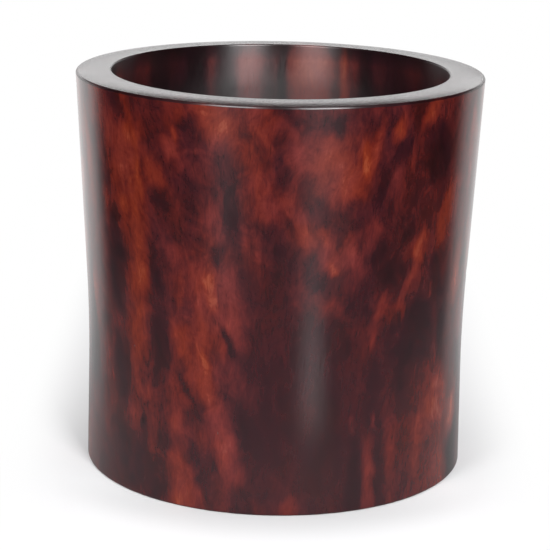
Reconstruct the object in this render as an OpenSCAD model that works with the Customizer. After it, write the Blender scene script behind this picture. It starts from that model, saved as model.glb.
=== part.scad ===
// Turned hardwood brush pot: a waisted wall turned from one hollowed log, a base disc
// let into a rabbet under it, and a stepped plug that fills the disc's bored-out heart.
// The origin is on the table at the centre of the foot, and the pot stands along +Z.

/* [Wall] */
// Height from the table to the highest line of the rim
pot_h = 165; // [120:1:220]
// Outer diameter at the rim
rim_d = 168.2; // [130:0.2:220]
// How far the rim stands out past the waist, on each side
rim_flare = 5.3; // [2:0.1:12]
// How far the foot stands out past the waist, on each side
foot_flare = 0.9; // [0:0.1:6]
// Height at which the lower and upper tapers meet
waist_z = 60; // [40:1:80]
// Length of each taper that the soft curve of the waist takes up
waist_blend = 20; // [5:1:30]
// Wall thickness at the waist
wall_t = 9.3; // [7:0.1:16]

/* [Edges] */
// How far the rim's outer side falls below its highest line
rim_crown = 0.5; // [0.1:0.1:1.5]
// Width of the level part of the rim, from the bore outwards
rim_level_w = 5; // [3:0.5:7]
// Radius of the rim's outer edge
rim_outer_r = 1; // [0.4:0.1:2]
// Radius of the rim's inner edge
rim_inner_r = 0.7; // [0.3:0.1:1.5]
// Radius of the foot's outer edge
foot_outer_r = 0.8; // [0.3:0.1:1.5]
// Chamfer on the foot's inner edge and on the edges of the base disc and plug
edge_chamfer = 0.4; // [0.2:0.1:0.8]

/* [Base] */
// Thickness of the base disc
base_t = 10; // [7:0.5:16]
// How far the base disc lies above the table
foot_recess = 2; // [1:0.5:5]
// Width of the rabbet's shoulder that the base disc seats on
rabbet_w = 4.5; // [3:0.5:6]
// Diameter of the plug's head, which shows inside the pot
plug_head_d = 36; // [30:1:60]
// Thickness of the plug's head
plug_head_t = 4; // [2.5:0.5:5]
// Diameter of the plug's shank, which shows under the pot
plug_shank_d = 28; // [16:1:30]
// Glue gap around the base disc and the plug
glue_gap = 0.1; // [0.05:0.05:0.2]

/* [Hidden] */
$fn = 128;

rim_r = rim_d / 2;
waist_r = rim_r - rim_flare;
foot_r = waist_r + foot_flare;
bore_r = waist_r - wall_t;
rabbet_r = bore_r + rabbet_w;
floor_z = foot_recess + base_t;
disc_r = rabbet_r - glue_gap;
head_r = plug_head_d / 2;
shank_r = plug_shank_d / 2;

// The three corners of the outer profile, as [radius, height].
foot_corner = [foot_r, 0];
waist_corner = [waist_r, waist_z];
rim_corner = [rim_r, pot_h - rim_crown];

// Steps of the round stretches of the outline
arc_steps = 6;
waist_steps = 14;
crown_steps = 8;

function unit(v) = v / norm(v);

// Points of an arc about c with radius r, from angle a0 to angle a1.
function arc(c, r, a0, a1) =
    [for (i = [0 : arc_steps]) let (a = a0 + (a1 - a0) * i / arc_steps) c + r * [cos(a), sin(a)]];

// Points of the quadratic curve from p0 to p2 that both tapers touch, with its corner at p1.
function quadratic(p0, p1, p2) =
    [for (i = [0 : waist_steps]) let (t = i / waist_steps)
        (1 - t) * (1 - t) * p0 + 2 * t * (1 - t) * p1 + t * t * p2];

// The foot's edge, the lower taper, the waist, the upper taper and the rim's outer edge,
// from the foot up. The blend is never longer than the taper that it lies on.
up_dir = unit(rim_corner - waist_corner);
down_dir = unit(foot_corner - waist_corner);
blend = min(waist_blend, 0.8 * norm(rim_corner - waist_corner), 0.8 * norm(foot_corner - waist_corner));
outer_points = concat(
    arc([foot_r - foot_outer_r, foot_outer_r], foot_outer_r, -90, 0),
    quadratic(waist_corner + blend * down_dir, waist_corner, waist_corner + blend * up_dir),
    arc([rim_r - rim_outer_r, pot_h - rim_crown - rim_outer_r], rim_outer_r, 0, 90));

// The rim's crown, from its outer edge inwards: level near the bore, then falling as the square
// of the distance from the level part.
crown_r0 = bore_r + rim_level_w;
crown_r1 = rim_r - rim_outer_r;
crown_points = [for (i = [1 : crown_steps]) let (t = 1 - i / crown_steps)
    [crown_r0 + (crown_r1 - crown_r0) * t, pot_h - rim_crown * t * t]];

inner_points = concat(
    arc([bore_r + rim_inner_r, pot_h - rim_inner_r], rim_inner_r, 90, 180),
    [[bore_r, floor_z], [rabbet_r, floor_z], [rabbet_r, edge_chamfer], [rabbet_r + edge_chamfer, 0]]);

// The wall, turned from one piece: it takes in the foot ring, the waist and the rim.
module pot_wall() {
    color("#5c2320")
        rotate_extrude()
            polygon(concat(outer_points, crown_points, inner_points));
}

// The base disc, cut across the log's core. It seats on the rabbet's shoulder from below,
// and its middle is bored and counterbored for the plug.
module base_disc() {
    color("#4a1f1c")
        rotate_extrude()
            polygon([
                [disc_r, floor_z],
                [disc_r, foot_recess + edge_chamfer],
                [disc_r - edge_chamfer, foot_recess],
                [shank_r + glue_gap + edge_chamfer, foot_recess],
                [shank_r + glue_gap, foot_recess + edge_chamfer],
                [shank_r + glue_gap, floor_z - plug_head_t],
                [head_r + glue_gap, floor_z - plug_head_t],
                [head_r + glue_gap, floor_z - edge_chamfer],
                [head_r + glue_gap + edge_chamfer, floor_z]]);
}

// The plug: its head rests on the counterbore, and its shank ends level with the disc's underside.
module heart_plug() {
    color("#6e3424")
        rotate_extrude()
            polygon([
                [0, foot_recess],
                [shank_r - edge_chamfer, foot_recess],
                [shank_r, foot_recess + edge_chamfer],
                [shank_r, floor_z - plug_head_t],
                [head_r, floor_z - plug_head_t],
                [head_r, floor_z - edge_chamfer],
                [head_r - edge_chamfer, floor_z],
                [0, floor_z]]);
}

pot_wall();
base_disc();
heart_plug();
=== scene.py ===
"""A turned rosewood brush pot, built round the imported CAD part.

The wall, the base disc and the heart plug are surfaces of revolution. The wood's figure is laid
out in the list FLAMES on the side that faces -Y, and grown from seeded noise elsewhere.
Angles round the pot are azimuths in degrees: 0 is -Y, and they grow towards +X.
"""

import itertools
import math

import bpy
import numpy as np
from bpy.props import FloatProperty, FloatVectorProperty, PointerProperty
from mathutils import Matrix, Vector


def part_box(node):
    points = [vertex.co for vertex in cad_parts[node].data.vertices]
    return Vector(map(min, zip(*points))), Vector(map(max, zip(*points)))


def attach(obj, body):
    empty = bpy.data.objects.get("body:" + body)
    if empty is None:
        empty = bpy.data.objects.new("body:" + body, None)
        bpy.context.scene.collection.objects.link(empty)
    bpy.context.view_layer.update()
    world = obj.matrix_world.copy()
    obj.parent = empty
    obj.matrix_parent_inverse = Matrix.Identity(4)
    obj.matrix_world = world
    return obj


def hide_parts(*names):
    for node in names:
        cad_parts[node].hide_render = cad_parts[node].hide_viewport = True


bl_info = {
    "name": "Turned Brush Pot",
    "version": (1, 0, 0),
    "blender": (4, 5, 0),
    "location": "View3D > Sidebar > Brush Pot",
    "description": "Builds the wall, base and plug of a turned rosewood brush pot, and its stage",
    "category": "Add Mesh",
}

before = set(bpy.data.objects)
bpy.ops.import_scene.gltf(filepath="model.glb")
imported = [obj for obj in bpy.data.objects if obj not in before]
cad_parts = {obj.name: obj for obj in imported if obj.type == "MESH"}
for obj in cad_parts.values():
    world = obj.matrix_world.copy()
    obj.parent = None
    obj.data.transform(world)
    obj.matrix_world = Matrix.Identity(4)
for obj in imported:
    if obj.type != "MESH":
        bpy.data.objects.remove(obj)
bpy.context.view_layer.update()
WALL_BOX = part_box("pot_wall")
DISC_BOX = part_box("base_disc")
PLUG_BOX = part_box("heart_plug")

MM = 0.001
POT_H = WALL_BOX[1].z
RIM_R = WALL_BOX[1].x
DISC_R = DISC_BOX[1].x
DISC_LOW = DISC_BOX[0].z
FLOOR_Z = DISC_BOX[1].z
PLUG_HEAD_R = PLUG_BOX[1].x

WALL_COLUMNS = 470
DISC_COLUMNS = 256
PLUG_COLUMNS = 128
# Rows of the wall's grid, from the outside over the rim, in which its figure turns into the bore's
RIM_BLEND_ROWS = 22
# Rows of the rim that are its worn outer edge and its worn inner edge
OUTER_WORN_ROWS = 7
INNER_WORN_ROWS = 6

# Flames of the figure: azimuth and height in mm of the lower end, the same of the upper end,
# half width in degrees, tone (below 0 is dark) and warmth (0 is crimson, 1 is orange).
FLAMES = [
    # bright, upper left
    (-44, 117, -46, 153, 5.0, 0.60, 0.90),
    (-46, 146, -47, 164, 2.4, 0.35, 1.10),
    (-41, 128, -43, 151, 1.0, 0.45, 1.10),
    (-50, 118, -51, 150, 3.2, 0.50, 0.95),
    (-42, 60, -45, 124, 3.0, 0.42, 1.00),
    (-42, 86, -43, 106, 1.6, 0.35, 1.10),
    (-33, 126, -38, 144, 3.0, 0.45, 0.95),
    (-28, 141, -33, 151, 2.2, 0.60, 0.30),
    (-28, 147, -29, 153, 1.0, 0.60, 0.80),
    (-28, 154, -31, 174, 3.0, 0.70, 0.85),
    (-14, 146, -20, 174, 3.6, 0.95, 0.60),
    (-23, 159, -24, 174, 2.0, 0.40, 0.50),
    (-7, 153, -10, 178, 3.4, 0.70, 0.50),
    (-3, 149, -4, 176, 2.4, 0.50, 0.40),
    (-48, 106, -48, 122, 2.0, 0.35, 1.00),
    (-26, 77, -26, 90, 2.0, 0.25, 0.30),
    (-8, 140, -9, 150, 2.2, 0.35, 0.50),
    (-24, 136, -24, 144, 2.0, 0.35, 0.10),
    # This bright purple flame is partly a painted reflection: the grey-lavender haze high on the left.
    (-18, 138, -18, 150, 2.0, 0.35, -0.20),
    (-29, 83, -29, 94, 1.6, 0.30, 0.80),
    (-39, 88, -40, 118, 2.4, 0.45, 1.00),
    (-39, 146, -40, 158, 2.0, 0.30, 1.00),
    (-60, 148, -62, 172, 4.0, 0.35, 0.60),
    (-2, 118, -6, 141, 3.3, 0.62, 0.40),
    (-17, 109, -20, 128, 3.6, 0.42, 0.20),
    (-28, 100, -32, 111, 3.0, 0.40, 0.20),
    (-18, 79, -24, 104, 4.4, 0.55, 0.40),
    (-18, 82, -20, 98, 1.5, 0.75, 1.20),
    (-9, 76, -16, 100, 3.8, 0.40, 0.15),
    (-29, 80, -28, 94, 1.4, 0.35, 0.70),
    (-9, 107, -9, 119, 1.2, 0.45, 0.30),
    (-5, 102, -5, 109, 1.0, 0.45, 0.20),
    (-53, 140, -58, 174, 3.6, 0.38, 0.60),
    (-50, 112, -58, 124, 3.0, 0.30, 0.60),
    # bright, upper right
    (18, 127, 7, 153, 5.5, 0.50, 0.30),
    (17, 140, 14, 150, 4.0, 0.45, 0.40),
    (7, 136, 4, 150, 3.0, 0.45, 0.05),
    (22, 128, 21, 142, 2.8, 0.50, 0.85),
    (6, 127, 4, 138, 3.0, 0.20, 0.00),
    (18, 127, 17, 141, 2.8, 0.55, 0.90),
    (24, 135, 23, 148, 0.9, 0.80, 1.30),
    (24, 136, 28, 159, 1.6, 0.65, 0.80),
    (21, 141, 22, 152, 0.8, 0.45, 0.60),
    (18, 150, 18, 160, 1.0, 0.40, 0.40),
    (32, 150, 34, 160, 1.6, 0.85, 1.20),
    (42, 155, 48, 174, 2.6, 0.70, 0.90),
    (39, 137, 38, 149, 1.2, 0.50, 0.50),
    (31, 127, 34, 140, 1.4, 0.40, 0.10),
    (25, 104, 31, 127, 1.9, 0.50, 0.45),
    (17, 99, 13, 112, 3.6, 0.42, 0.35),
    (23, 101, 20, 113, 2.4, 0.40, 0.40),
    (10, 108, 5, 118, 2.4, 0.40, 0.55),
    (14, 110, 12, 117, 1.5, 0.45, 0.60),
    (16, 98, 15, 104, 0.8, 0.70, 0.80),
    (43, 99, 45, 111, 2.4, 0.75, 0.95),
    (52, 104, 58, 130, 2.8, 0.80, 1.00),
    (60, 114, 61, 132, 3.0, 0.30, 0.30),
    (35, 80, 43, 98, 1.6, 0.55, 0.60),
    (29, 79, 33, 91, 1.3, 0.40, 0.30),
    (8, 84, 7, 96, 2.0, 0.35, 0.10),
    (49, 84, 50, 91, 1.0, 0.45, 0.70),
    (18, 81, 11, 91, 3.8, 0.40, 0.20),
    (6, 119, 2, 131, 2.8, 0.40, 0.30),
    (4, 151, 0, 161, 2.0, 0.45, 0.30),
    # bright, lower left
    (-43, 60, -47, 81, 3.0, 0.15, 0.80),
    (-45, 43, -44, 61, 3.2, 0.45, 0.60),
    (-39, 41, -41, 49, 2.0, 0.55, 0.50),
    (-42, 22, -46, 39, 2.4, 0.35, 0.30),
    (-38, 19, -38, 35, 1.5, 0.35, 0.30),
    (-25, 61, -29, 78, 3.2, 0.65, 0.80),
    (-20, 62, -22, 81, 3.0, 0.50, 0.55),
    (-24, 42, -25, 60, 2.4, 0.35, 0.50),
    (-19, 43, -22, 66, 2.4, 0.75, 0.90),
    (-10, 47, -12, 62, 2.6, 0.35, 0.10),
    # This bright flame is partly a painted highlight: it lifts the wood under the key light's oval
    # reflection low on the front.
    (9, 30, 9, 68, 3.0, 0.30, 0.00),
    (-16, 74, -16, 84, 2.4, 0.35, 0.20),
    (-29, 50, -29, 60, 2.0, 0.35, 0.50),
    (-18, 49, -20, 63, 1.1, 0.40, 1.20),
    (-12, 20, -19, 47, 3.0, 0.60, 0.45),
    (-9, 10, -12, 32, 2.6, 0.55, 0.10),
    (-29, 28, -29, 52, 2.8, 0.35, 0.50),
    (-30, 31, -30, 39, 1.8, 0.30, 0.85),
    (-23, -6, -29, 22, 4.6, 0.75, 0.60),
    (-27, 1, -28, 8, 1.8, 0.40, 1.20),
    (-13, 59, -17, 77, 1.2, 0.40, 0.40),
    (-9, 67, -14, 80, 3.0, 0.50, 0.15),
    (-59, 44, -59, 64, 4.0, 0.30, 0.20),
    (-44, 31, -44, 44, 2.0, 0.35, 0.30),
    (-26, 22, -26, 34, 2.0, 0.30, 0.50),
    (-58, 17, -58, 36, 3.0, 0.30, 0.30),
    # bright, lower right
    (28, 66, 29, 77, 1.0, 0.50, 0.50),
    (39, 76, 38, 85, 1.5, 0.60, 0.80),
    (28.5, -8, 29, 30, 1.8, 0.55, 0.45),
    (36, 0, 37, 29, 2.0, 0.35, 0.50),
    (47, 0, 48, 37, 2.0, 0.40, 0.45),
    (58, 30, 57, 49, 6.0, 0.65, 0.80),
    (60, 4, 50, 46, 9.0, 0.40, 0.50),
    (57, 45, 54, 58, 4.0, 0.20, 0.35),
    (58, -6, 57, 12, 5.0, 0.35, 0.30),
    (60, 28, 60, 46, 3.0, 0.30, 0.30),
    (6, 0, 4, 9, 3.0, 0.50, 0.40),
    (23, 31, 22, 39, 1.0, 0.35, 0.10),
    (30, 33, 30, 41, 0.7, 0.75, 0.00),
    # dark, upper left
    (-48, 152, -50, 162, 2.6, -0.50, 0.60),
    (-33, 139, -38, 160, 3.6, -0.22, 0.40),
    (-23, 137, -27, 153, 3.0, -0.20, 0.00),
    (-22, 149, -25, 159, 1.8, -0.35, 0.20),
    (-51, 110, -53, 118, 1.4, -0.55, 0.60),
    (-52, 75, -53, 112, 4.0, -0.65, 0.20),
    (-30, 120, -37, 129, 3.2, -0.40, 0.20),
    (-20, 122, -27, 133, 3.8, -0.45, 0.10),
    (-34, 84, -39, 109, 2.3, -0.60, 0.20),
    (-17, 100, -18, 110, 1.2, -0.45, 0.10),
    (-12, 110, -13, 123, 2.4, -0.50, 0.00),
    (-11, 121, -13, 139, 1.9, -0.55, 0.10),
    (-3, 82, -7, 101, 4.0, -0.15, 0.00),
    (0, 106, -3, 121, 2.8, -0.35, 0.10),
    (-15, 140, -15, 151, 2.4, -0.35, -0.20),
    # dark, upper right
    (18, 153, 15, 160, 2.8, -0.65, 0.20),
    (13, 153, 13, 163, 2.0, -0.25, 0.00),
    (2, 132, -1, 146, 2.0, -0.30, 0.00),
    (38, 143, 33, 150, 3.0, -0.50, 0.10),
    (49, 131, 48, 156, 6.2, -0.85, 0.60),
    (46, 112, 45, 133, 5.0, -0.12, 0.80),
    (31, 119, 30, 140, 2.6, -0.50, 0.40),
    (39, 122, 39, 138, 3.0, -0.35, 0.70),
    (39, 158, 41, 176, 3.0, -0.45, 0.80),
    (2, 156, 2, 172, 2.4, -0.45, 0.10),
    (32, 148, 31, 155, 2.0, -0.35, 0.20),
    (26, 88, 26, 98, 2.4, -0.35, 0.10),
    (23, 117, 21, 128, 3.0, -0.40, 0.20),
    (14, 118, 11, 127, 3.0, -0.15, 0.00),
    (3, 99, 1, 113, 2.4, -0.45, 0.10),
    (29, -6, 30, 12, 2.0, -0.30, 0.20),
    (33, 90, 30, 110, 4.6, -0.65, 0.50),
    (54, 80, 50, 102, 3.4, -0.30, 0.40),
    (57, 62, 57, 90, 3.0, -0.45, 0.20),
    (12, 92, 8, 107, 2.8, -0.40, 0.10),
    (26, 79, 22, 93, 3.0, -0.50, 0.10),
    (37, 105, 38, 121, 2.8, -0.40, 0.55),
    (39, 92, 40, 103, 1.8, -0.30, 0.30),
    # dark, lower left
    (-49, 38, -52, 67, 4.0, -0.45, 0.20),
    (-34, 49, -36, 80, 3.0, -0.65, 0.20),
    (-12, 65, -15, 77, 1.1, -0.90, 0.20),
    (-23, 40, -29, 58, 0.9, -0.65, 0.20),
    (-19, 8, -24, 27, 3.0, -0.35, 0.00),
    (-46, 0, -53, 31, 6.0, -0.50, 0.30),
    (-35, 0, -38, 19, 3.8, -0.55, 0.30),
    (-33, 19, -35, 29, 2.0, -0.50, 0.20),
    (-41, 29, -41, 35, 0.9, -0.80, 0.30),
    (-46, 43, -46, 55, 3.0, -0.30, 0.30),
    (-42, 17, -43, 30, 2.6, -0.40, 0.20),
    (-45, 3, -46, 16, 3.0, -0.35, 0.10),
    (-17, 17, -17, 27, 2.2, -0.40, 0.10),
    (-4, 8, -5, 82, 6.5, -0.50, 0.05),
    (-9, 21, -10, 46, 2.4, -0.35, 0.00),
    (-9, -8, -9, 9, 3.0, -0.35, 0.00),
    # dark, lower right
    (14, 0, 12, 86, 12.0, -0.50, 0.05),
    (46, 58, 43, 84, 7.0, -0.85, 0.20),
    (30, 30, 29, 62, 4.0, -0.50, 0.10),
    (41, 46, 40, 66, 5.0, -0.50, 0.20),
    (34, 62, 34, 76, 2.0, -0.35, 0.10),
    (59, 55, 59, 72, 4.0, -0.35, 0.20),
    (47, 32, 48, 44, 2.4, -0.30, 0.30),
    (24, -6, 24, 30, 2.4, -0.55, 0.10),
    (32, 0, 32, 29, 1.8, -0.30, 0.20),
]

# Bands of colour down the bore: azimuth, half width in degrees, tone and warmth. The bright bands
# at 191 and 169 degrees lie under the gloss lights' highlights, and are partly a painted highlight.
BORE_BANDS = [
    (249, 6, -0.20, 0.50), (239, 4, 0.20, 0.60), (228, 5, -0.70, 0.30), (220, 3, -0.30, 0.50),
    (212, 5, -0.85, 0.20), (206, 2, 0.30, 0.10), (200, 3, -0.60, 0.00), (191, 6, 1.00, 0.00),
    (183, 3, 0.00, 0.10), (178, 1.5, -0.80, 0.30), (169, 8, 1.40, 0.45), (156, 2, 0.90, 1.00),
    (152, 3, 0.30, 0.10), (146, 3, -0.50, 0.20), (133, 8, -0.25, 0.40), (112, 8, -0.40, 0.30),
]

# Open pores and bark pockets in the wall: azimuth, height in mm, half width and half height in mm.
PITS = [
    (-42, 141, 0.5, 0.9), (-36, 142, 0.6, 1.2), (22, 129, 1.2, 0.6), (-45, 62, 0.5, 0.7),
    (-41, 32, 0.5, 1.6), (-16, 33, 0.4, 1.4), (31, 140, 0.4, 0.6), (-42, 119, 0.4, 1.0),
    (97, 120, 0.9, 1.6), (141, 58, 0.6, 1.8), (188, 131, 0.7, 1.2), (232, 80, 0.5, 1.5),
    (265, 148, 0.6, 0.9), (205, 24, 0.5, 1.1),
]

# The closed knot in the right-hand side. Its place is an azimuth in degrees and a height in mm, its
# sizes are in mm, and its slant is its long axis's angle from level, in degrees.
KNOT = {
    "azimuth": 84.0,
    "height": 83.0,
    "half_length": 6.0,
    "half_width": 1.6,
    "depth": 0.9,
    "slant": 24.0,
}

# The dark heart low on the right, where the figure is calm: the place of its middle as an azimuth in
# degrees and a height in mm, its half sizes, and how calm it is
HEART = {"azimuth": 12, "height": 25, "half_angle": 26, "half_height": 52, "calm": 0.6}

# Radii in metres at which angles round the pot are taken as lengths: outside, at the knot, in the bore
OUTSIDE_R = 0.0795
KNOT_R = 0.0793
BORE_R = 0.0695

# How strongly the tone of plain wood, with no flame, counts beside the flames', and how warm it is
PLAIN_WEIGHT = 0.08
PLAIN_WARMTH = 0.35

# Colours of the wall's wood from dark to bright, as it looks in full light
CRIMSON_TONES = [
    (0.00, (38, 12, 20)),
    (0.25, (59, 19, 28)),
    (0.42, (79, 26, 32)),
    (0.60, (112, 38, 39)),
    (0.80, (142, 53, 49)),
    (1.00, (176, 86, 78)),
]
ORANGE_TONES = [
    (0.00, (34, 12, 12)),
    (0.25, (58, 17, 16)),
    (0.42, (85, 22, 17)),
    (0.60, (121, 34, 21)),
    (0.80, (150, 51, 26)),
    (1.00, (192, 92, 54)),
]
# Colours of turned end grain from dark to bright: the base disc's and the plug's
BASE_TONES = [(0.1, (34, 16, 15)), (0.45, (72, 28, 24)), (0.8, (108, 46, 34)), (1.0, (134, 66, 44))]
PLUG_TONES = [(0.1, (46, 22, 16)), (0.45, (92, 40, 26)), (0.8, (134, 66, 40)), (1.0, (158, 88, 52))]
PORE_COLOUR = (12, 5, 5)
PIT_COLOUR = (8, 4, 4)
END_PORE_COLOUR = (18, 8, 7)
# Which of a list's tones the wood's colour settings give
MIDDLE_TONE = 2
# Share of those colours' light that the wood sends back, under the stage's strong lights
WOOD_SHARE = 0.52

# Roughness of the wall: low and high on the outside, on the rim, on the rim's worn edges and in the
# bore, and how much rougher the bore is further down
LOW_FINISH, HIGH_FINISH = 0.15, 0.22
RIM_FINISH = 0.13
WORN_FINISH = 0.33
BORE_FINISH = 0.41
DEEP_DULLNESS = 0.28
# How far the tone of the rim's end grain and of the knot is lowered, and how far painted shade lowers it
# further down the bore and under the foot
RIM_DARKNESS = 0.9
KNOT_DARKNESS = 1.2
DEEP_PAINTED_SHADE = 0.65
# Heights in mm from which and to which the outside's finish changes, and the bore turns duller and
# darkens with painted shade
FINISH_RISE = (60, 110)
BORE_FADE = (157, 141)
# How lively the figure's small marks are in the bore, and how strong its broad ones, beside the outside.
# The stronger broad ones also lift the painted highlight in the bore's two brightest bands.
BORE_LIVELINESS = 0.4
BORE_CONTRAST = 1.25

# Where the stage's four lights stand: distance from the pot's axis, lower and upper edge, and the
# height that they point at
LIGHT_DISTANCE = 1.1
LIGHT_LOW, LIGHT_HIGH = 0.45, 1.15
LIGHT_AIM = 0.08
SENSOR_WIDTH = 36


# ---------------------------------------------------------------- helpers

def linear(rgb):
    """The screen colour rgb, each from 0 to 255, as scene-linear numbers with alpha 1."""
    share = np.asarray(rgb, float) / 255
    low = share / 12.92
    high = ((share + 0.055) / 1.055) ** 2.4
    return (*np.where(share <= 0.04045, low, high), 1.0)


def smooth(x):
    """0 below 0, 1 above 1, and the smooth cubic 3x^2 - 2x^3 between them."""
    x = np.clip(x, 0, 1)
    return x * x * (3 - 2 * x)


def ease(x, start, end):
    """0 at start and before, 1 at end and past it, and the smooth cubic between them."""
    return smooth((x - start) / (end - start))


def lattice_noise(points, cell, seed, octaves=1):
    """Smooth noise from about -1 to 1. Random numbers sit on a lattice with the given cell along x, y
    and z, and are blended between its corners with smoothstep weights. Each octave halves the cell
    and the strength."""
    table = np.random.default_rng(seed).uniform(-1, 1, (24, 24, 24))
    total, strength = 0.0, 1.0
    for octave in range(octaves):
        q = points / (np.asarray(cell) / 2**octave) + 7.3 * octave
        low = np.floor(q).astype(int)
        f = smooth(q - low)
        for corner in itertools.product((0, 1), repeat=3):
            weight = np.prod(np.where(corner, f, 1 - f), axis=-1)
            i = (low + corner) % len(table)
            total = total + strength * weight * table[i[..., 0], i[..., 1], i[..., 2]]
        strength /= 2
    return total


def line(start, end, steps):
    """Points evenly spaced from start to end, with both ends."""
    t = np.linspace(0, 1, steps + 1)[:, None]
    return (1 - t) * np.asarray(start) + t * np.asarray(end)


def arc(centre, radius, start, end, steps):
    """Points of a circle about centre from angle start to angle end, in degrees."""
    a = np.radians(np.linspace(start, end, steps + 1))
    return np.asarray(centre) + radius * np.stack([np.cos(a), np.sin(a)], -1)


def joined(*stretches):
    """One outline from stretches that follow each other, without the doubled points."""
    points = np.concatenate(stretches)
    keep = np.r_[True, np.linalg.norm(np.diff(points, axis=0), axis=1) > 1e-6]
    return points[keep]


def cornered(corners, steps):
    """Points along the straight stretches from corner to corner, each cut into its number of steps."""
    return joined(*(line(start, end, n) for start, end, n in zip(corners, corners[1:], steps)))


def turned_grid(outline, columns):
    """The outline's points, [radius, height], carried round the axis: x = r sin(a), y = -r cos(a)."""
    a = np.linspace(0, 2 * math.pi, columns, endpoint=False)
    r, z = outline[:, :1], outline[:, 1:]
    return np.stack([r * np.sin(a), -r * np.cos(a), z + 0 * a], -1)


def turned_faces(rows, columns, closed=False):
    """Faces between each of a turned grid's rows and the next, and for a closed outline between its
    last row and its first too, each turned so that it faces outwards."""
    low = np.arange(rows if closed else rows - 1)[:, None] * columns
    high = (low + columns) % (rows * columns)
    j = np.arange(columns)
    k = (j + 1) % columns
    return np.stack([low + j, low + k, high + k, high + j], -1).reshape(-1, 4)


def cap(middle, ring, columns, up=True):
    """Triangles from the vertex middle to the row of vertices that starts at ring, facing up or
    down."""
    j = np.arange(columns)
    k = (j + 1) % columns
    first, second = (j, k) if up else (k, j)
    return np.stack([j * 0 + middle, ring + first, ring + second, ring + second], -1)


def azimuth_of(points):
    """The points' azimuths in degrees."""
    return np.degrees(np.arctan2(points[..., 0], -points[..., 1]))


def mesh_piece(name, vertices, faces, attributes=None):
    """A new object with these vertices, faces (quads, or triangles with a repeated last corner) and
    point attributes."""
    mesh = bpy.data.meshes.new(name)
    counts = np.where(faces[:, 2] == faces[:, 3], 3, 4)
    corners = faces[np.arange(4)[None, :] < counts[:, None]]
    mesh.vertices.add(len(vertices))
    mesh.vertices.foreach_set("co", vertices.astype(np.float32).ravel())
    mesh.loops.add(len(corners))
    mesh.loops.foreach_set("vertex_index", corners.astype(np.int32))
    mesh.polygons.add(len(faces))
    mesh.polygons.foreach_set("loop_start", np.r_[0, np.cumsum(counts)[:-1]].astype(np.int32))
    for key, values in (attributes or {}).items():
        kind = "FLOAT_VECTOR" if values.ndim == 2 else "FLOAT"
        field = "vector" if values.ndim == 2 else "value"
        made = mesh.attributes.new(key, kind, "POINT")
        made.data.foreach_set(field, values.astype(np.float32).ravel())
    mesh.update(calc_edges=True)
    mesh.validate()
    mesh.shade_smooth()
    mesh.set_sharp_from_angle(angle=math.radians(38))
    piece = bpy.data.objects.new(name, mesh)
    bpy.context.scene.collection.objects.link(piece)
    return piece


def fit_to_frame(piece, node, material):
    """The piece stands for its CAD node, rides on the pot's one body and takes its material."""
    piece.data.materials.append(material)
    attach(piece, "root")
    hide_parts(node)


# ---------------------------------------------------------------- the figure of the wood

def flame_fields(azimuth, height, flames, radius):
    """Tone and warmth from a list of flames. Each is a spindle between its two ends: its strength is
    exp(-(across^2 + |along|^3)^1.5), where across and along are 1 at its half width and at its ends.
    The tones add up, and the warmth is the mean of the flames' and the plain wood's, by strength."""
    tone = np.zeros_like(azimuth)
    weight = np.full_like(azimuth, PLAIN_WEIGHT)
    warmth = np.full_like(azimuth, PLAIN_WEIGHT * PLAIN_WARMTH)
    mm_per_degree = math.radians(radius / MM)
    for a0, z0, a1, z1, half_width, strength, warm in flames:
        da = (azimuth - (a0 + a1) / 2 + 180) % 360 - 180
        dz = height - (z0 + z1) / 2
        run = np.array([(a1 - a0) * mm_per_degree, z1 - z0]) / 2
        half_length = max(np.linalg.norm(run), 1.0)
        run = run / half_length
        along = (da * mm_per_degree * run[0] + dz * run[1]) / half_length
        across = (da * mm_per_degree * run[1] - dz * run[0]) / (half_width * mm_per_degree)
        v = np.exp(-(across**2 + np.abs(along) ** 3) ** 1.5)
        tone += strength * v
        warmth += abs(strength) * v * warm
        weight += abs(strength) * v
    return tone, warmth / weight


def grown_flames(count, low, high, seed):
    """Flames drawn at random between two azimuths, in the style of the listed ones, about as
    many dark as bright. Each leans by a wave of its azimuth and a little at random."""
    rng = np.random.default_rng(seed)
    a = rng.uniform(low, high, count)
    z = rng.uniform(-5, 170, count)
    half_length = rng.uniform(5, 17, count)
    lean = rng.normal(0, 0.16, count) + 0.22 * np.sin(np.radians(a * 2 + 30))
    half_width = rng.uniform(1.1, 5.0, count)
    tone = np.where(rng.random(count) < 0.52, -1, 1) * rng.uniform(0.35, 0.8, count)
    warm = np.clip(rng.normal(0.45, 0.35, count), 0, 1.2)
    run = half_length * lean
    return np.stack([a - run, z - half_length, a + run, z + half_length, half_width, tone, warm], -1)


def bore_bands():
    """Upright flames down the whole bore: the bands of BORE_BANDS in its back half, and in its front
    half bands about 9 degrees apart, drawn at random."""
    low_end, high_end = -60, 230
    bands = [(a, low_end, a, high_end, width, tone, warm) for a, width, tone, warm in BORE_BANDS]
    rng = np.random.default_rng(31)
    for a, tone in zip(np.arange(-102, 104, 9), rng.uniform(-0.8, 0.6, 23)):
        low, high, width = a + rng.uniform(-3, 3), a + rng.uniform(-3, 3), rng.uniform(1.5, 5)
        bands.append((low, low_end, high, high_end, width, tone, rng.random()))
    return bands


def grain_coordinates(points):
    """The wood's own coordinates: the place on the pot turned about the axis, more the higher up, so
    that lines of constant angle lean away from the middle of each face as the log's fibres do. The
    lean is a sum of two waves of the azimuth, and broad noise bends the fibres a little."""
    x, y, z = points[..., 0], points[..., 1], points[..., 2]
    azimuth = np.arctan2(x, -y)
    lean = 0.22 * np.sin(azimuth) + 0.10 * np.sin(3 * azimuth + 1.0)
    shift = lattice_noise(points, (0.03, 0.03, 0.07), 5, 2)
    turned = azimuth - lean * (z / POT_H - 0.5) + 0.035 * shift
    r = np.hypot(x, y)
    return np.stack([r * np.sin(turned), -r * np.cos(turned), z], -1)


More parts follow.
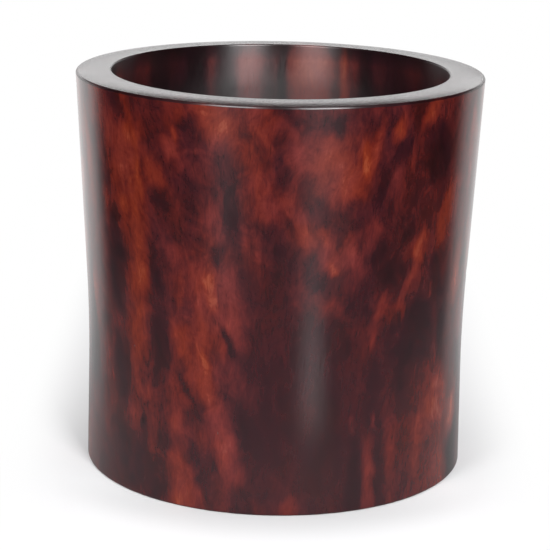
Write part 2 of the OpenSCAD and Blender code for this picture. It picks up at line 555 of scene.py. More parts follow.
def wall_figure(points, outward):
    """Tone and warmth at the wall's points. outward is 1 on the outside and 0 in the bore. The place
    is first warped by noise, broad noise for the bends and finer noise for the ragged edges, by
    degrees of azimuth and mm of height."""
    broad = [lattice_noise(points, (0.014, 0.014, 0.022), seed, 3) for seed in (11, 12)]
    ragged = [lattice_noise(points, (0.0040, 0.0040, 0.0080), seed, 2) for seed in (13, 14)]
    azimuth = azimuth_of(points) + 0.9 * broad[0] + 0.6 * ragged[0]
    height = points[..., 2] / MM + 1.6 * broad[1] + 2.0 * ragged[1]
    mottle = lattice_noise(points, (0.010, 0.010, 0.022), 16, 3)

    grown = grown_flames(230, 66, 294, 21)
    tone, warmth = flame_fields(azimuth, height, [*FLAMES, *grown], OUTSIDE_R)
    tone = tone + 0.12 * mottle

    bore_azimuth = azimuth + 1.2 * lattice_noise(points, (0.02, 0.02, 0.05), 15)
    bore_tone, bore_warmth = flame_fields(bore_azimuth, height, bore_bands(), BORE_R)
    bore_tone = bore_tone + 0.25 * mottle

    share = smooth(outward)
    return share * tone + (1 - share) * bore_tone, share * warmth + (1 - share) * bore_warmth


def heart_shape(points):
    """1 in the middle of the heart, falling as exp(-(across^2 + up^2)), where across and up are the
    distances round the pot and up it, in half sizes."""
    across = (azimuth_of(points) - HEART["azimuth"]) / HEART["half_angle"]
    up = (points[..., 2] / MM - HEART["height"]) / HEART["half_height"]
    return np.exp(-(across**2) - up**2)


def knot_shape(points):
    """1 in the middle of the knot, falling as exp(-(along^2 + across^2)), where along and across are
    the distances along and across its slanting long axis, in half sizes."""
    da = (azimuth_of(points) - KNOT["azimuth"]) * math.radians(KNOT_R / MM)
    dz = points[..., 2] / MM - KNOT["height"]
    slant = math.radians(KNOT["slant"])
    along = (da * math.cos(slant) + dz * math.sin(slant)) / KNOT["half_length"]
    across = (dz * math.cos(slant) - da * math.sin(slant)) / KNOT["half_width"]
    return np.exp(-(along**2 + across**2))


# ---------------------------------------------------------------- materials

class Nodes:
    """Short ways to add and link nodes in one node tree."""

    def __init__(self, tree):
        self.tree = tree
        tree.nodes.clear()

    def add(self, kind, settings=None, **inputs):
        """A new node. Each input is named i0, i1 and so on for its place in the list of sockets, or
        by its own name with _ for a space."""
        node = self.tree.nodes.new(kind)
        for key, value in (settings or {}).items():
            setattr(node, key, value)
        for key, value in inputs.items():
            numbered = key[0] == "i" and key[1:].isdigit()
            self.feed(node, int(key[1:]) if numbered else key.replace("_", " "), value)
        return node

    def feed(self, node, key, value):
        """Link a socket to the node's input, or set the input to a value."""
        if isinstance(value, bpy.types.NodeSocket):
            self.tree.links.new(value, node.inputs[key])
        else:
            node.inputs[key].default_value = value

    def math(self, operation, *values, clamp=False):
        inputs = {f"i{place}": value for place, value in enumerate(values)}
        settings = {"operation": operation, "use_clamp": clamp}
        return self.add("ShaderNodeMath", settings, **inputs).outputs[0]

    def total(self, first, *others):
        for other in others:
            first = self.math("ADD", first, other)
        return first

    def product(self, first, *others):
        for other in others:
            first = self.math("MULTIPLY", first, other)
        return first

    def centred(self, value, strength):
        """The value's distance from 0.5, times strength."""
        return self.product(self.math("SUBTRACT", value, 0.5), strength)

    def span(self, value, low, high, to_low=0.0, to_high=1.0, smoothed=False):
        """The value carried from the range low to high to the range to_low to to_high, clamped."""
        settings = {"interpolation_type": "SMOOTHSTEP" if smoothed else "LINEAR", "clamp": True}
        inputs = {"i0": value, "i1": low, "i2": high, "i3": to_low, "i4": to_high}
        return self.add("ShaderNodeMapRange", settings, **inputs).outputs[0]

    def vector(self, operation, a, b):
        return self.add("ShaderNodeVectorMath", {"operation": operation}, i0=a, i1=b).outputs[0]

    def length(self, vector):
        node = self.add("ShaderNodeVectorMath", {"operation": "LENGTH"}, i0=vector)
        return node.outputs["Value"]

    def place(self):
        return self.add("ShaderNodeTexCoord").outputs["Object"]

    def attribute(self, name, output="Fac"):
        return self.add("ShaderNodeAttribute", {"attribute_name": name}).outputs[output]

    def stretched(self, vector, height_scale):
        """The vector with its height scaled. A small scale draws a pattern out upwards."""
        scale = (1, 1, height_scale)
        return self.add("ShaderNodeMapping", None, Vector=vector, Scale=scale).outputs[0]

    def noise(self, vector, scale, detail=2.0, roughness=0.5, distortion=0.0):
        inputs = {"Scale": scale, "Detail": detail, "Roughness": roughness, "Distortion": distortion}
        return self.add("ShaderNodeTexNoise", None, Vector=vector, **inputs).outputs["Fac"]

    def between(self, share, a, b):
        """The number a where share is 0 and b where it is 1."""
        return self.add("ShaderNodeMix", {"data_type": "FLOAT"}, i0=share, i2=a, i3=b).outputs[0]

    def mix(self, share, a, b, blend="MIX"):
        """The colour a where share is 0 and b, or b blended with a, where it is 1."""
        settings = {"data_type": "RGBA", "blend_type": blend}
        return self.add("ShaderNodeMix", settings, i0=share, i6=a, i7=b).outputs[2]

    def mix_shaders(self, share, a, b):
        return self.add("ShaderNodeMixShader", None, i0=share, i1=a.outputs[0], i2=b.outputs[0])

    def ramp(self, value, tones, middle):
        """Colours from dark to bright: the listed tones, tinted so that the one at MIDDLE_TONE
        is the colour middle, and dimmed to the share of light that the wood sends back."""
        node = self.add("ShaderNodeValToRGB", None, Fac=value)
        elements = node.color_ramp.elements
        for _ in range(len(tones) - 2):
            elements.new(0.5)
        tint = np.array(middle) / linear(tones[MIDDLE_TONE][1])[:3]
        for element, (place, colour) in zip(elements, tones):
            element.position = place
            element.color = (*(WOOD_SHARE * tint * linear(colour)[:3]), 1)
        return node.outputs[0]

    def waxed(self, colour, roughness, height, relief, **gloss):
        """Waxed wood, with a bump of the depth relief where height goes from 0 to 1."""
        bump = self.add("ShaderNodeBump", None, Strength=0.4, Distance=relief, Height=height)
        inputs = {"Base_Color": colour, "Roughness": roughness, "Normal": bump.outputs[0]}
        self.finish(self.add("ShaderNodeBsdfPrincipled", None, **inputs, **gloss))

    def finish(self, shader, output="ShaderNodeOutputMaterial"):
        self.add(output, None, Surface=shader.outputs[0])


def new_material(name):
    """A material, and its node tree with nothing in it yet."""
    material = bpy.data.materials.new(name)
    material.use_nodes = True
    return material, Nodes(material.node_tree)


def wall_wood(w):
    """Waxed, burnished rosewood in the colours of the settings w: the figure from the mesh's
    attributes, broken up by patches, strands and fine streaks along the grain, then open pores and
    dark pits. The gloss is drawn out upwards, across the marks that turning and sanding leave."""
    material, n = new_material("figured_rosewood")
    place = n.place()
    figure = n.attribute("figure")
    lively = n.attribute("lively")
    grain = n.attribute("grain", "Vector")
    patches = n.noise(n.stretched(grain, 0.55), 130, detail=7, roughness=0.66, distortion=0.9)
    strands = n.noise(n.stretched(grain, 0.34), 460, detail=5, roughness=0.66, distortion=1.0)
    streaks = n.noise(n.stretched(grain, 0.08), 1300, detail=3, roughness=0.6)

    mottling = n.total(n.centred(patches, 0.86), n.centred(strands, 0.50), n.centred(streaks, 0.10))
    tone = n.total(n.math("MULTIPLY_ADD", figure, 0.46, 0.47), n.product(mottling, lively))
    drift = n.noise(n.stretched(grain, 0.6), 75, detail=3, distortion=0.5)
    warm = n.total(n.attribute("warmth"), n.centred(drift, 1.8))
    warm = n.math("SUBTRACT", warm, 0.08, clamp=True)
    crimson = n.ramp(tone, CRIMSON_TONES, w.crimson)
    orange = n.ramp(tone, ORANGE_TONES, w.orange)
    colour = n.mix(warm, crimson, orange)

    # Open pores come in patches, and the pits are larger and darker.
    pore_noise = n.noise(n.stretched(grain, 0.10), 1700, detail=1)
    pore_patches = n.noise(n.stretched(grain, 0.3), 160)
    pores = n.product(n.span(pore_noise, 0.66, 0.74), n.span(pore_patches, 0.42, 0.62))
    pits = pit_mask(n, place)
    colour = n.mix(n.product(pores, 0.5), colour, linear(PORE_COLOUR))
    colour = n.mix(n.product(pits, 0.85), colour, linear(PIT_COLOUR))

    # The polish is a little uneven everywhere, dull in the pits, and broken up by strands in the bore.
    finish = n.attribute("finish")
    polish = n.noise(n.stretched(grain, 0.35), 60, detail=4, roughness=0.6)
    scraped = n.product(n.centred(strands, 0.3), n.span(finish, 0.36, 0.40))
    roughness = n.total(finish, n.centred(polish, 0.10), n.product(pits, 0.25), scraped)

    # Long soft waves, pores and pits show everywhere, and the fibres where the polish is brightest.
    bright = n.span(finish, 0.20, 0.14)
    waves = n.product(n.noise(n.stretched(place, 0.45), 38), 0.35)
    fibres = n.product(streaks, n.span(bright, 0.0, 1.0, 0.02, 0.25))
    height = n.total(waves, fibres, n.product(strands, bright, 0.15))
    height = n.total(height, n.product(pores, -0.03), n.product(pits, -0.12))
    n.waxed(colour, roughness, height, 0.0005, IOR=1.5, Anisotropic=0.85, Anisotropic_Rotation=0.25)
    return material


def pit_mask(n, place):
    """1 inside each pit of PITS and 0 outside: the distance to its centre, in half sizes, below 1."""
    mask = 0.0
    for azimuth, height, half_width, half_height in PITS:
        a = math.radians(azimuth)
        centre = (OUTSIDE_R * math.sin(a), -OUTSIDE_R * math.cos(a), height * MM)
        per_half = (1 / (half_width * MM), 1 / (half_width * MM), 1 / (half_height * MM))
        away = n.length(n.vector("MULTIPLY", n.vector("SUBTRACT", place, centre), per_half))
        mask = n.math("MAXIMUM", mask, n.span(away, 1.2, 0.6, smoothed=True))
    return mask


def end_grain_wood(name, tones, middle, pith, ring_width):
    """Turned end grain: growth rings about the pith, which wander with noise, clouds and specks over
    them, and open pores."""
    material, n = new_material(name)
    flat = n.stretched(n.vector("SUBTRACT", n.place(), (*pith, 0)), 0.03)
    clouds = n.noise(flat, 60, detail=4, roughness=0.6)
    specks = n.noise(flat, 900, roughness=0.6)
    pores = n.span(n.noise(flat, 1700, detail=1), 0.64, 0.72)

    wander = n.product(n.noise(flat, 45, detail=3, roughness=0.55), 2.2 * ring_width)
    ring_count = n.math("DIVIDE", n.total(n.length(flat), wander), ring_width)
    settings = {"noise_dimensions": "1D"}
    rings = n.add("ShaderNodeTexNoise", settings, W=ring_count, Scale=1.0, Detail=2.5).outputs["Fac"]
    tone = n.total(n.span(rings, 0.1, 0.9), n.centred(clouds, 0.9), n.centred(specks, 0.35))
    colour = n.ramp(tone, tones, middle)
    colour = n.mix(n.product(pores, 0.6), colour, linear(END_PORE_COLOUR))

    roughness = n.span(clouds, 0.3, 0.7, 0.38, 0.5)
    height = n.total(n.product(specks, 0.2), n.product(pores, -0.4))
    n.waxed(colour, roughness, height, 0.0002, IOR=1.46)
    return material


# ---------------------------------------------------------------- settings

def length_prop(name, description, default_mm):
    default = default_mm * MM
    return FloatProperty(name=name, description=description, default=default, unit="LENGTH", precision=5)


def angle_prop(name, description, degrees):
    default = math.radians(degrees)
    return FloatProperty(name=name, description=description, default=default, subtype="ANGLE")


def power_prop(name, description, watts):
    return FloatProperty(name=name, description=description, default=watts, unit="POWER")


def colour_prop(name, description, default):
    return FloatVectorProperty(
        name=name, description=description, default=default, subtype="COLOR", size=3, min=0, max=1)


def wood_colour_prop(name, description, tones):
    return colour_prop(name, description, linear(tones[MIDDLE_TONE][1])[:3])


class BrushPotSizes(bpy.types.PropertyGroup):
    """Sizes of the turned pieces that the CAD boxes don't give"""

    rim_flare: length_prop("Rim flare", "How far the rim stands out past the waist", 5.3)
    foot_flare: length_prop("Foot flare", "How far the foot stands out past the waist", 0.9)
    waist_z: length_prop("Waist height", "Height at which the two tapers meet", 60)
    waist_blend: length_prop("Waist blend", "Length of each taper that the waist's curve takes up", 20)
    wall_t: length_prop("Wall thickness", "Thickness of the wall at the waist", 9.3)
    rim_crown: length_prop("Rim crown", "How far the rim's outer side falls below its highest line", 0.5)
    rim_level_w: length_prop("Level rim", "Width of the level part of the rim, from the bore outwards", 5)
    rim_outer_r: length_prop("Outer rim edge", "Radius of the rim's outer edge", 1)
    rim_inner_r: length_prop("Inner rim edge", "Radius of the rim's inner edge", 0.7)
    foot_outer_r: length_prop("Foot edge", "Radius of the foot's outer edge", 0.8)
    edge_chamfer: length_prop("Chamfer", "Chamfer on the foot's inner edge, the disc and the plug", 0.4)
    glue_gap: length_prop("Glue gap", "Glue gap round the base disc and the plug", 0.1)
    plug_head_t: length_prop("Plug head", "Thickness of the plug's head", 4)
    plug_shank_r: length_prop("Plug shank", "Radius of the plug's shank", 14)
    hand_waves: length_prop("Hand finish", "Depth of the waves that hand scraping leaves", 0.05)


class BrushPotWood(bpy.types.PropertyGroup):
    """Middle tones of the wood, which the darker and brighter ones follow"""

    crimson: wood_colour_prop("Crimson wood", "Middle tone of the wall's crimson wood", CRIMSON_TONES)
    orange: wood_colour_prop("Orange wood", "Middle tone of the wall's orange wood", ORANGE_TONES)
    base: wood_colour_prop("Base disc", "Colour of the base disc's brighter rings", BASE_TONES)
    plug: wood_colour_prop("Heart plug", "Colour of the plug's brighter rings", PLUG_TONES)


class BrushPotStage(bpy.types.PropertyGroup):
    """The floor, the lights and the camera"""

    camera_distance: length_prop("Camera distance", "Level distance from the pot's axis", 828.3)
    camera_height: length_prop("Camera height", "Height of the camera above the floor", 298.65)
    camera_side: length_prop("Camera offset", "Sideways offset of the camera", -0.63)
    pitch: angle_prop("Pitch", "How far the camera looks down", 14.96)
    roll: angle_prop("Roll", "How far the camera is turned about its line of sight", 1.15)
    lens: FloatProperty(
        name="Lens", description="Focal length on a 36 mm sensor", default=132.6, unit="CAMERA")
    floor_colour: colour_prop("Floor colour", "Colour of the pale floor", (0.83, 0.83, 0.84))
    key_power: power_prop("Key light", "Power of the right-hand light", 10)
    fill_power: power_prop("Fill light", "Power of the left-hand light", 5)
    gloss_power: power_prop("Gloss lights", "Power of the two lights that only reflections see", 33)
    key_glow: FloatProperty(
        name="Key glow",
        description="Strength of the right-hand light's reflection in the table top",
        default=1.6)
    fill_glow: FloatProperty(
        name="Fill glow",
        description="Strength of the left-hand light's reflection in the table top",
        default=1.2)


# ---------------------------------------------------------------- the pieces

def wall_outline(s):
    """The wall's closed outline as [radius, height], from the foot's outer edge up the outside, over
    the rim and down the bore. The waist is the quadratic curve that both tapers touch, and the rim
    falls as the square of the distance from its level part. Also gives the numbers of the rows at
    which the outside and the rim end."""
    waist_r = RIM_R - s.rim_flare
    foot_r = waist_r + s.foot_flare
    bore_r = waist_r - s.wall_t
    rabbet_r = DISC_R + s.glue_gap
    foot, waist = np.array([foot_r, 0]), np.array([waist_r, s.waist_z])
    rim = np.array([RIM_R, POT_H - s.rim_crown])
    up = (rim - waist) / np.linalg.norm(rim - waist)
    down = (foot - waist) / np.linalg.norm(foot - waist)
    bend_low, bend_high = waist + s.waist_blend * down, waist + s.waist_blend * up
    t = np.linspace(0, 1, 36)[:, None]
    bend = (1 - t) ** 2 * bend_low + 2 * t * (1 - t) * waist + t**2 * bend_high

    foot_edge = arc([foot_r - s.foot_outer_r, s.foot_outer_r], s.foot_outer_r, -90, 0, 6)
    rim_edge = arc([RIM_R - s.rim_outer_r, POT_H - s.rim_crown - s.rim_outer_r], s.rim_outer_r, 0, 90, 8)
    across = np.linspace(1, 0, 11)[:, None]
    level_r, edge_r = bore_r + s.rim_level_w, RIM_R - s.rim_outer_r
    crown = np.concatenate([level_r + (edge_r - level_r) * across, POT_H - s.rim_crown * across**2], 1)
    inner_edge = arc([bore_r + s.rim_inner_r, POT_H - s.rim_inner_r], s.rim_inner_r, 90, 180, 6)

    outside = joined(foot_edge, line(foot_edge[-1], bend_low, 34), bend, line(bend_high, rim_edge[0], 72))
    top = joined(outside, rim_edge, crown, line(crown[-1], inner_edge[0], 3), inner_edge)
    c = s.edge_chamfer
    corners = [
        inner_edge[-1], [bore_r, FLOOR_Z], [rabbet_r, FLOOR_Z], [rabbet_r, c], [rabbet_r + c, 0],
        foot_edge[0],
    ]
    under = cornered(corners, (24, 3, 4, 1, 3))[:-1]
    return joined(top, under), len(outside), len(top)


class BRUSHPOT_OT_wall(bpy.types.Operator):
    """Turn the wall, with its foot ring and rim, from figured rosewood"""

    bl_idname = "brush_pot.wall"
    bl_label = "Wall"

    def execute(self, context):
        s = context.scene.brush_pot_sizes
        outline, outside_end, rim_end = wall_outline(s)
        grid = turned_grid(outline, WALL_COLUMNS)
        row = np.arange(len(outline))[:, None]
        outside, bore = row < outside_end, row >= rim_end
        rim = ~outside & ~bore
        height = outline[:, 1:] / MM

        # 1 on the outside, falling to 0 over the rim's first rows, and 0 in the bore
        outward = np.clip(1 - (row - outside_end) / RIM_BLEND_ROWS, 0, 1) * ~bore
        outward = np.broadcast_to(outward, grid.shape[:2])
        figure, warmth = wall_figure(grid, outward)

        # The figure is calm in the bore and in the heart, and lively elsewhere.
        lively = np.where(outward > 0, 1 - HEART["calm"] * heart_shape(grid), BORE_LIVELINESS)

        # The knot is darker than the wood round it, and so is the rim's end grain. Further down the
        # bore and under the foot the wood is duller, and painted shade darkens it.
        knot = knot_shape(grid) * outside
        depth = ease(height, *BORE_FADE) * bore
        figure = np.tanh(figure - KNOT_DARKNESS * knot - RIM_DARKNESS * rim)
        # Painted shade: the tone falls further down the bore and under the foot.
        figure = figure * np.where(outward > 0, 1, BORE_CONTRAST) - DEEP_PAINTED_SHADE * depth

        # The rim is polished most, apart from its worn edges, and the outside more below than above.
        # The bore is only scraped and sanded.
        outside_finish = LOW_FINISH + (HIGH_FINISH - LOW_FINISH) * ease(height, *FINISH_RISE)
        worn = rim & ((row < outside_end + OUTER_WORN_ROWS) | (row >= rim_end - INNER_WORN_ROWS))
        rim_finish = np.where(worn, WORN_FINISH, RIM_FINISH)
        finish = np.where(outside, outside_finish, np.where(rim, rim_finish, BORE_FINISH))
        finish = np.broadcast_to(finish + DEEP_DULLNESS * depth, grid.shape[:2])

        # Hand scraping leaves long shallow waves, and the knot is a slanting hollow.
        waves = s.hand_waves * (0.5 + 0.5 * lattice_noise(grid, (0.02, 0.02, 0.05), 41))
        inward = (waves + KNOT["depth"] * MM * knot) * outside
        grid[..., :2] *= (1 - inward / np.hypot(grid[..., 0], grid[..., 1]))[..., None]

        vertices = grid.reshape(-1, 3)
        attributes = {
            "figure": figure.ravel(),
            "finish": finish.ravel(),
            "lively": lively.ravel(),
            "warmth": warmth.ravel(),
            "grain": grain_coordinates(vertices),
        }
        faces = turned_faces(len(outline), WALL_COLUMNS, closed=True)
        wall = mesh_piece("turned_wall", vertices, faces, attributes)
        fit_to_frame(wall, "pot_wall", wall_wood(context.scene.brush_pot_wood))
        return {"FINISHED"}


class BRUSHPOT_OT_base(bpy.types.Operator):
    """Turn the base disc, bored and counterbored for the plug"""

    bl_idname = "brush_pot.base"
    bl_label = "Base disc"

    def execute(self, context):
        s = context.scene.brush_pot_sizes
        c = s.edge_chamfer
        shank_r, head_r = s.plug_shank_r + s.glue_gap, PLUG_HEAD_R + s.glue_gap
        step_z = FLOOR_Z - s.plug_head_t
        corners = [
            [shank_r + c, DISC_LOW], [DISC_R - c, DISC_LOW], [DISC_R, DISC_LOW + c],
            [DISC_R, FLOOR_Z], [head_r + c, FLOOR_Z], [head_r, FLOOR_Z - c],
            [head_r, step_z], [shank_r, step_z], [shank_r, DISC_LOW + c],
            [shank_r + c, DISC_LOW],
        ]
        outline = cornered(corners, (40, 2, 8, 40, 2, 4, 4, 5, 2))[:-1]
        vertices = turned_grid(outline, DISC_COLUMNS).reshape(-1, 3)
        faces = turned_faces(len(outline), DISC_COLUMNS, closed=True)
        disc = mesh_piece("base_board", vertices, faces)
        middle = context.scene.brush_pot_wood.base
        wood = end_grain_wood(
            "end_grain_rosewood", BASE_TONES, middle, pith=(0.002, -0.003), ring_width=0.0021)
        fit_to_frame(disc, "base_disc", wood)
        return {"FINISHED"}


class BRUSHPOT_OT_plug(bpy.types.Operator):
    """Turn the stepped plug that fills the bored-out heart"""

    bl_idname = "brush_pot.plug"
    bl_label = "Heart plug"

    def execute(self, context):
        s = context.scene.brush_pot_sizes
        c = s.edge_chamfer
        step_z = FLOOR_Z - s.plug_head_t
        corners = [
            [0, DISC_LOW], [s.plug_shank_r - c, DISC_LOW], [s.plug_shank_r, DISC_LOW + c],
            [s.plug_shank_r, step_z], [PLUG_HEAD_R, step_z], [PLUG_HEAD_R, FLOOR_Z - c],
            [PLUG_HEAD_R - c, FLOOR_Z], [0, FLOOR_Z],
        ]
        outline = cornered(corners, (14, 2, 5, 3, 4, 2, 16))
        # The outline's two ends are poles on the axis, and the points between them are turned.
        rings = outline[1:-1]
        side = turned_grid(rings, PLUG_COLUMNS).reshape(-1, 3)
        vertices = np.concatenate([side, [[0, 0, DISC_LOW], [0, 0, FLOOR_Z]]])
        under = cap(len(side), 0, PLUG_COLUMNS, up=False)
        top = cap(len(side) + 1, len(side) - PLUG_COLUMNS, PLUG_COLUMNS)
        faces = np.concatenate([turned_faces(len(rings), PLUG_COLUMNS), under, top])
        plug = mesh_piece("heart_peg", vertices, faces)
        middle = context.scene.brush_pot_wood.plug
        wood = end_grain_wood(
            "plug_rosewood", PLUG_TONES, middle, pith=(0.031, 0.012), ring_width=0.0017)
        fit_to_frame(plug, "heart_plug", wood)
        return {"FINISHED"}


# ---------------------------------------------------------------- the stage

def floor_paper(colour):
    """Pale paper, with a painted shadow that makes it a little darker close in front of the pot. To the
    camera it turns white beside the pot and behind it, and it is clear further out, so that no edge or
    horizon shows. Reflections see it dimmed, and less of it further from the pot."""
    material, n = new_material("paper")
    place = n.place()
    parts = n.add("ShaderNodeSeparateXYZ", None, i0=place)
    path = n.add("ShaderNodeLightPath")
    glossy = path.outputs["Is Glossy Ray"]
    from_axis = n.length(place)

    # Painted shadow: the paper's colour is darkened close in front of the pot.
    near = n.span(from_axis, 0.110, 0.082, smoothed=True)
    ahead = n.span(parts.outputs["Y"], -0.04, -0.08, smoothed=True)
    shade = n.math("SUBTRACT", 1.0, n.product(near, ahead, 0.17))
    seen_colour = n.mix(1.0, (*colour, 1), shade, "MULTIPLY")
    glossy_colour = (*(0.52 * c for c in colour), 1)
    tint = n.mix(glossy, seen_colour, glossy_colour)
    paper = n.add("ShaderNodeBsdfDiffuse", None, Color=tint)

    from_back = n.length(n.vector("SUBTRACT", place, (0, 0.08, 0)))
    aside = n.math("ABSOLUTE", parts.outputs["X"])
    fade_far = n.span(from_back, 0.20, 0.42, smoothed=True)
    fade_aside = n.span(aside, 0.080, 0.115, smoothed=True)
    seen_fade = n.math("MAXIMUM", fade_far, fade_aside)
    fade = n.between(glossy, seen_fade, n.span(from_axis, 0.10, 0.42))

    white = n.add("ShaderNodeEmission", None, Color=(1, 1, 1, 1), Strength=1.0)
    clear = n.add("ShaderNodeBsdfTransparent")
    inner = n.span(from_back, 0.42, 0.20, smoothed=True)
    beyond = n.mix_shaders(n.product(path.outputs["Is Camera Ray"], inner), clear, white)
    n.finish(n.mix_shaders(fade, paper, beyond))
    return material


def stage_floor(colour):
    """A paper disc of 0.6 m radius at the foot's height."""
    columns = 96
    outline = np.stack([np.linspace(0.6, 0.02, 30), np.zeros(30)], -1)
    rings = turned_grid(outline, columns).reshape(-1, 3)
    vertices = np.concatenate([rings, [[0, 0, 0]]])
    middle = cap(len(rings), len(rings) - columns, columns)
    faces = np.concatenate([turned_faces(len(outline), columns), middle])
    floor = mesh_piece("paper_floor", vertices, faces)
    floor.data.materials.append(floor_paper(colour))


def stage_world():
    """A surround that the camera sees as plain white and that lights the pot evenly. Reflections see
    it as a studio: a white sweep behind the pot, brightest at the horizon and again just below a
    dark ceiling, and brighter on the left, with a dim room in front and a faint light above."""
    world = bpy.data.worlds.new("studio")
    bpy.context.scene.world = world
    world.use_nodes = True
    world.cycles.sampling_method = "NONE"
    n = Nodes(world.node_tree)
    path = n.add("ShaderNodeLightPath")
    direction = n.add("ShaderNodeTexCoord").outputs["Generated"]
    parts = n.add("ShaderNodeSeparateXYZ", None, i0=direction)
    x, y, z = (parts.outputs[axis] for axis in "XYZ")
    behind = n.span(y, 0.44, 0.70, 0.02, 1.08, smoothed=True)
    below_ceiling = n.span(z, 0.21, 0.32, 1.0, 0.04, smoothed=True)
    horizon = n.span(z, 0.04, 0.12, 1.0, 0.45)
    high_glow = n.span(z, 0.15, 0.18, 0.0, 1.7)
    left = n.span(x, -1.0, 1.0, 1.22, 0.78)
    sweep = n.product(behind, below_ceiling, n.total(horizon, high_glow), left)
    above = n.product(n.span(y, 0.1, -0.3), n.span(z, 0.35, 0.5), 0.30)
    even_light = 0.86
    unseen = n.between(path.outputs["Is Glossy Ray"], even_light, n.total(sweep, above))
    level = n.between(path.outputs["Is Camera Ray"], unseen, 1.0)
    background = n.add("ShaderNodeBackground", None, Color=(1, 1, 1, 1), Strength=level)
    n.finish(background, "ShaderNodeOutputWorld")


def placed(right, up, back, place):
    """The matrix of an object with these x, y and z directions, at that place."""
    rows = [[right[i], up[i], back[i], place[i]] for i in range(3)]
    return Matrix([*rows, [0, 0, 0, 1]])


def stage_light(name, azimuth, width, power):
    """A soft upright light at that azimuth, turned to the pot."""
    data = bpy.data.lights.new(name, "AREA")
    data.shape = "RECTANGLE"
    data.size, data.size_y = width, LIGHT_HIGH - LIGHT_LOW
    data.energy = power
    a = math.radians(azimuth)
    centre_z = (LIGHT_LOW + LIGHT_HIGH) / 2
    tilt = math.atan2(centre_z - LIGHT_AIM, LIGHT_DISTANCE)
    out = np.array([math.sin(a) * math.cos(tilt), -math.cos(a) * math.cos(tilt), math.sin(tilt)])
    right = np.array([math.cos(a), math.sin(a), 0])
    up = np.cross(out, right)
    place = (math.sin(a) * LIGHT_DISTANCE, -math.cos(a) * LIGHT_DISTANCE, centre_z)
    light = bpy.data.objects.new(name, data)
    light.matrix_world = placed(right, up, out, place)
    light.visible_camera = False
    bpy.context.scene.collection.objects.link(light)
    return light


def stage_card(name, place, azimuth, width, reach, glow):
    """A soft oval glow just above the floor, at that place and turned to that azimuth. Only
    reflections see it: it stands for a light's own reflection in the polished table top. It fades
    smoothly from a tenth of the way out to its edge."""
    columns = 64
    a = math.radians(azimuth)
    centre = np.array([*place, 0.002])
    circle = turned_grid(np.array([[1.0, 0.0]]), columns).reshape(-1, 3)
    turn = np.array([[math.cos(a), math.sin(a), 0], [-math.sin(a), math.cos(a), 0], [0, 0, 1]])
    oval = (circle * (width, reach, 0)) @ turn + centre
    card = mesh_piece(name, np.concatenate([oval, [centre]]), cap(columns, 0, columns))

    material, n = new_material(name)
    oval_place = n.add(
        "ShaderNodeMapping", {"vector_type": "TEXTURE"}, Vector=n.place(), Location=tuple(centre),
        Rotation=(0, 0, a), Scale=(width, reach, 1)).outputs[0]
    strength = n.span(n.length(oval_place), 1.0, 0.1, 0.0, glow, smoothed=True)
    light = n.add("ShaderNodeEmission", None, Color=(1, 1, 1, 1), Strength=strength).outputs[0]
    clear = n.add("ShaderNodeBsdfTransparent").outputs[0]
    n.finish(n.add("ShaderNodeAddShader", None, i0=light, i1=clear))
    card.data.materials.append(material)
    card.visible_camera = False
    card.visible_diffuse = False


def stage_camera(t):
    """The camera, set level by its pitch and then rolled about its line of sight."""
    data = bpy.data.cameras.new("camera")
    data.lens, data.sensor_width = t.lens, SENSOR_WIDTH
    data.clip_start, data.clip_end = 0.05, 20
    back = np.array([0, -math.cos(t.pitch), math.sin(t.pitch)])
    level_right, level_up = np.array([1, 0, 0]), np.array([0, math.sin(t.pitch), math.cos(t.pitch)])
    right = math.cos(t.roll) * level_right + math.sin(t.roll) * level_up
    up = math.cos(t.roll) * level_up - math.sin(t.roll) * level_right
    camera = bpy.data.objects.new("camera", data)
    camera.matrix_world = placed(right, up, back, (t.camera_side, -t.camera_distance, t.camera_height))
    bpy.context.scene.collection.objects.link(camera)
    bpy.context.scene.camera = camera


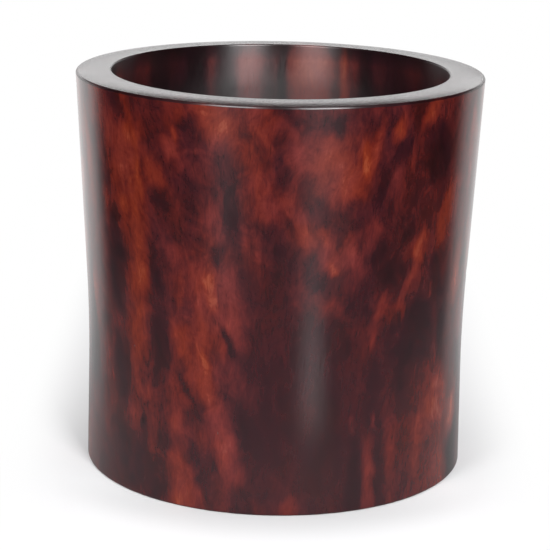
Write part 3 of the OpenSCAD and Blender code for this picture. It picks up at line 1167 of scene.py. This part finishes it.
class BRUSHPOT_OT_stage(bpy.types.Operator):
    """Set the floor, the surround, the lights and the camera"""

    bl_idname = "brush_pot.stage"
    bl_label = "Stage"

    def execute(self, context):
        t = context.scene.brush_pot_stage
        stage_floor(t.floor_colour)
        stage_world()
        # The key and fill lights aren't reflected, and the gloss lights are only reflected.
        stage_light("key_light", 20, 0.30, t.key_power).visible_glossy = False
        stage_light("fill_light", -33, 0.30, t.fill_power).visible_glossy = False
        stage_light("key_gloss", 26, 0.50, t.gloss_power).visible_diffuse = False
        stage_light("fill_gloss", -27, 0.50, 0.7 * t.gloss_power).visible_diffuse = False
        stage_card("key_card", (0.078, -0.236), 20, width=0.046, reach=0.095, glow=t.key_glow)
        stage_card("fill_card", (-0.27, -0.476), -32, width=0.075, reach=0.08, glow=t.fill_glow)
        stage_camera(t)
        context.scene.view_settings.view_transform = "Standard"
        return {"FINISHED"}


class BRUSHPOT_PT_panel(bpy.types.Panel):
    """The pieces and the stage of the brush pot, and their settings"""

    bl_idname = "BRUSHPOT_PT_panel"
    bl_label = "Brush Pot"
    bl_space_type = "VIEW_3D"
    bl_region_type = "UI"
    bl_category = "Brush Pot"

    def draw(self, context):
        for operator in OPERATORS:
            self.layout.operator(operator.bl_idname)
        scene = context.scene
        for settings in (scene.brush_pot_sizes, scene.brush_pot_wood, scene.brush_pot_stage):
            box = self.layout.box()
            for name in settings.__annotations__:
                box.prop(settings, name)


OPERATORS = (BRUSHPOT_OT_wall, BRUSHPOT_OT_base, BRUSHPOT_OT_plug, BRUSHPOT_OT_stage)
CLASSES = (BrushPotSizes, BrushPotWood, BrushPotStage, *OPERATORS, BRUSHPOT_PT_panel)


def register():
    for cls in CLASSES:
        bpy.utils.register_class(cls)
    bpy.types.Scene.brush_pot_sizes = PointerProperty(type=BrushPotSizes)
    bpy.types.Scene.brush_pot_wood = PointerProperty(type=BrushPotWood)
    bpy.types.Scene.brush_pot_stage = PointerProperty(type=BrushPotStage)


def unregister():
    del bpy.types.Scene.brush_pot_stage
    del bpy.types.Scene.brush_pot_wood
    del bpy.types.Scene.brush_pot_sizes
    for cls in reversed(CLASSES):
        bpy.utils.unregister_class(cls)


def main():
    """Make the pieces and the stage."""
    register()
    bpy.ops.brush_pot.wall()
    bpy.ops.brush_pot.base()
    bpy.ops.brush_pot.plug()
    bpy.ops.brush_pot.stage()


if __name__ == "__main__":
    main()
